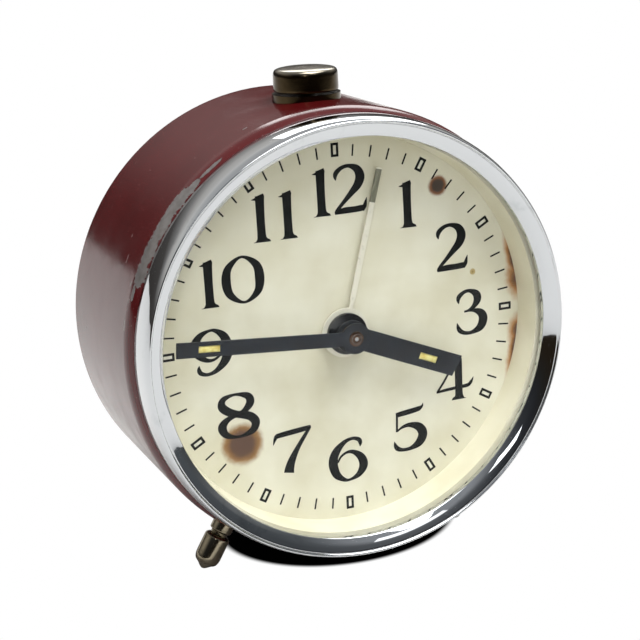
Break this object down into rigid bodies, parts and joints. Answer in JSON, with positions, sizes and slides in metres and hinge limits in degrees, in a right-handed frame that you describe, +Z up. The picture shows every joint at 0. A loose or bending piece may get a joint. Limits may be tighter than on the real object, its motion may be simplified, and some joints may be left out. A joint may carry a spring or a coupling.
{
  "type": "wind-up table alarm clock",
  "caption": "Round wind-up table alarm clock: enamelled drum case, chrome bezel, cream dial with hands, stop button on top, screw feet, and a wheel movement with keys and bell.",
  "frame": {"origin": "centre of the box's bottom face, on the surface the clock stands on; the clock leans back as it stands on its two front feet and the drum's rear rim", "axes": "+Z up, the dial faces -Y and tips up by the lean, +X to the viewer's right as the dial is read (towards 3 o'clock)"},
  "size_m": [0.09, 0.0644, 0.0991],
  "materials": {
    "red_enamel": "gloss burgundy stove enamel, chipped at the front edge",
    "chrome": "polished chromium plate with light wear",
    "glass": "clear domed glass",
    "dial_paint": "aged cream matt paint",
    "flange_paint": "cream satin paint",
    "nickel": "tarnished nickel plate",
    "black_hand": "blue-black satin lacquer",
    "lume": "aged luminous paint",
    "alarm_silver": "pale satin metal",
    "brass": "stamped brass",
    "steel": "turned steel",
    "spring_steel": "blued spring steel",
    "bell_steel": "pressed steel",
    "back_nickel": "nickel-plated sheet, aged",
    "knob_nickel": "nickel-plated brass, worn"
  },
  "bodies": {
    "case": {"case_drum": "red_enamel", "dial_seat_ring": "steel", "bezel": "chrome", "crystal": "glass", "dial_flange": "flange_paint", "dial_plate": "dial_paint", "left_foot": "nickel", "right_foot": "nickel", "foot_nuts": "steel", "button_collar": "nickel", "button_guide": "steel", "button_detent_spring": "steel", "front_plate": "brass", "back_plate": "brass", "pillars": "brass", "pillar_screws": "steel", "time_mainspring": "spring_steel", "alarm_mainspring": "spring_steel", "hairspring": "spring_steel", "balance_pivot_screws": "steel", "bell": "bell_steel", "bell_screw_and_washer": "steel", "back_cover": "back_nickel", "back_posts": "steel", "back_screws": "steel"},
    "minute_set": {"centre_arbor": "steel", "cannon_pinion": "brass", "minute_hand": "black_hand", "minute_hand_lume": "lume", "friction_spring": "brass", "time_set_knob": "knob_nickel"},
    "minute_wheel_set": {"minute_wheel": "brass"},
    "hour_set": {"hour_wheel": "brass", "hour_hand": "black_hand", "hour_hand_hub": "black_hand", "hour_hand_lume": "lume"},
    "alarm_setter": {"alarm_set_arbor": "steel", "alarm_set_knob": "knob_nickel"},
    "alarm_hand_set": {"alarm_wheel": "brass", "alarm_hand": "alarm_silver"},
    "fourth_set": {"fourth_wheel": "brass"},
    "third_set": {"third_wheel": "brass"},
    "centre_set": {"centre_wheel": "brass"},
    "great_set": {"great_wheel": "brass"},
    "escape_set": {"escape_wheel": "brass"},
    "pallet_set": {"pallet_lever": "steel"},
    "balance_set": {"balance_wheel": "brass", "balance_staff": "steel"},
    "time_winder": {"time_winding_arbor": "steel", "time_key": "knob_nickel"},
    "alarm_winder": {"alarm_winding_arbor": "steel", "alarm_key": "knob_nickel"},
    "time_click_set": {"time_click": "steel"},
    "alarm_click_set": {"alarm_click": "steel"},
    "alarm_great_set": {"alarm_great_wheel": "brass"},
    "strike_set": {"strike_wheel": "brass"},
    "hammer_set": {"hammer": "steel"},
    "stop_button": {"button_cap": "nickel", "button_stem": "nickel"},
    "regulator": {"regulator_lever": "brass"}
  },
  "joints": [
    {"name": "minute_turn", "type": "hinge", "parent": "case", "child": "minute_set", "pos_m": [0, -0.00235, 0.04801], "axis": [0, 0.989, -0.1482], "continuous": true},
    {"name": "minute_wheel_turn", "type": "hinge", "parent": "case", "child": "minute_wheel_set", "pos_m": [-0.01128, -0.00296, 0.04395], "axis": [0, 0.989, -0.1482], "continuous": true},
    {"name": "hour_turn", "type": "hinge", "parent": "case", "child": "hour_set", "pos_m": [0, -0.00235, 0.04801], "axis": [0, 0.989, -0.1482], "continuous": true},
    {"name": "alarm_set_turn", "type": "hinge", "parent": "case", "child": "alarm_setter", "pos_m": [0.018, -0.00235, 0.04801], "axis": [0, 0.989, -0.1482], "continuous": true},
    {"name": "alarm_hand_turn", "type": "hinge", "parent": "case", "child": "alarm_hand_set", "pos_m": [0, -0.00235, 0.04801], "axis": [0, 0.989, -0.1482], "continuous": true},
    {"name": "fourth_wheel_turn", "type": "hinge", "parent": "case", "child": "fourth_set", "pos_m": [-0.01138, -0.00002, 0.06352], "axis": [0, 0.989, -0.1482], "continuous": true},
    {"name": "third_wheel_turn", "type": "hinge", "parent": "case", "child": "third_set", "pos_m": [0, -0.00032, 0.06153], "axis": [0, 0.989, -0.1482], "continuous": true},
    {"name": "centre_wheel_turn", "type": "hinge", "parent": "case", "child": "centre_set", "pos_m": [0, -0.00235, 0.04801], "axis": [0, 0.989, -0.1482], "continuous": true},
    {"name": "great_wheel_turn", "type": "hinge", "parent": "case", "child": "great_set", "pos_m": [-0.01485, -0.00455, 0.03332], "axis": [0, 0.989, -0.1482], "continuous": true},
    {"name": "escape_wheel_turn", "type": "hinge", "parent": "case", "child": "escape_set", "pos_m": [-0.00967, 0.00142, 0.07316], "axis": [0, 0.989, -0.1482], "continuous": true},
    {"name": "pallet_rock", "type": "hinge", "parent": "case", "child": "pallet_set", "pos_m": [-0.00167, 0.00142, 0.07316], "axis": [0, 0.989, -0.1482], "range_deg": [-4, 4]},
    {"name": "balance_swing", "type": "hinge", "parent": "case", "child": "balance_set", "pos_m": [0.00733, 0.00142, 0.07316], "axis": [0, 0.989, -0.1482], "range_deg": [-150, 150], "stiffness_Nm_per_rad": 0.000012},
    {"name": "time_wind", "type": "hinge", "parent": "case", "child": "time_winder", "pos_m": [-0.01485, -0.00455, 0.03332], "axis": [0, 0.989, -0.1482], "range_deg": [0, 1800]},
    {"name": "alarm_wind", "type": "hinge", "parent": "case", "child": "alarm_winder", "pos_m": [0.0145, -0.00457, 0.03317], "axis": [0, 0.989, -0.1482], "range_deg": [0, 1440]},
    {"name": "time_click_lift", "type": "hinge", "parent": "great_set", "child": "time_click_set", "pos_m": [-0.0112, -0.00361, 0.03957], "axis": [0, 0.989, -0.1482], "range_deg": [0, 10]},
    {"name": "alarm_great_turn", "type": "hinge", "parent": "case", "child": "alarm_great_set", "pos_m": [0.0145, -0.00457, 0.03317], "axis": [0, 0.989, -0.1482], "continuous": true},
    {"name": "alarm_click_lift", "type": "hinge", "parent": "alarm_great_set", "child": "alarm_click_set", "pos_m": [0.01815, -0.00364, 0.03942], "axis": [0, 0.989, -0.1482], "range_deg": [0, 10]},
    {"name": "strike_wheel_turn", "type": "hinge", "parent": "case", "child": "strike_set", "pos_m": [0.02719, -0.0037, 0.03902], "axis": [0, 0.989, -0.1482], "continuous": true},
    {"name": "hammer_swing", "type": "hinge", "parent": "case", "child": "hammer_set", "pos_m": [0.02719, -0.00244, 0.04743], "axis": [0, 0.989, -0.1482], "range_deg": [0, 12]},
    {"name": "button_slide", "type": "slide", "parent": "case", "child": "stop_button", "axis": [0, 0.1482, 0.989], "range_m": [0, 0.003]},
    {"name": "regulator_turn", "type": "hinge", "parent": "case", "child": "regulator", "pos_m": [0.00733, 0.00142, 0.07316], "axis": [0, 0.989, -0.1482], "range_deg": [-12, 12]}
  ],
  "couplings": [
    {"joint": "minute_wheel_turn", "follows": "minute_turn", "ratio": -0.33333},
    {"joint": "hour_turn", "follows": "minute_turn", "ratio": 0.083333},
    {"joint": "alarm_hand_turn", "follows": "alarm_set_turn", "ratio": -0.25},
    {"joint": "third_wheel_turn", "follows": "fourth_wheel_turn", "ratio": -0.13333},
    {"joint": "centre_wheel_turn", "follows": "fourth_wheel_turn", "ratio": 0.016667},
    {"joint": "great_wheel_turn", "follows": "fourth_wheel_turn", "ratio": -0.0027778},
    {"joint": "escape_wheel_turn", "follows": "fourth_wheel_turn", "ratio": -10},
    {"joint": "strike_wheel_turn", "follows": "alarm_great_turn", "ratio": -6}
  ]
}
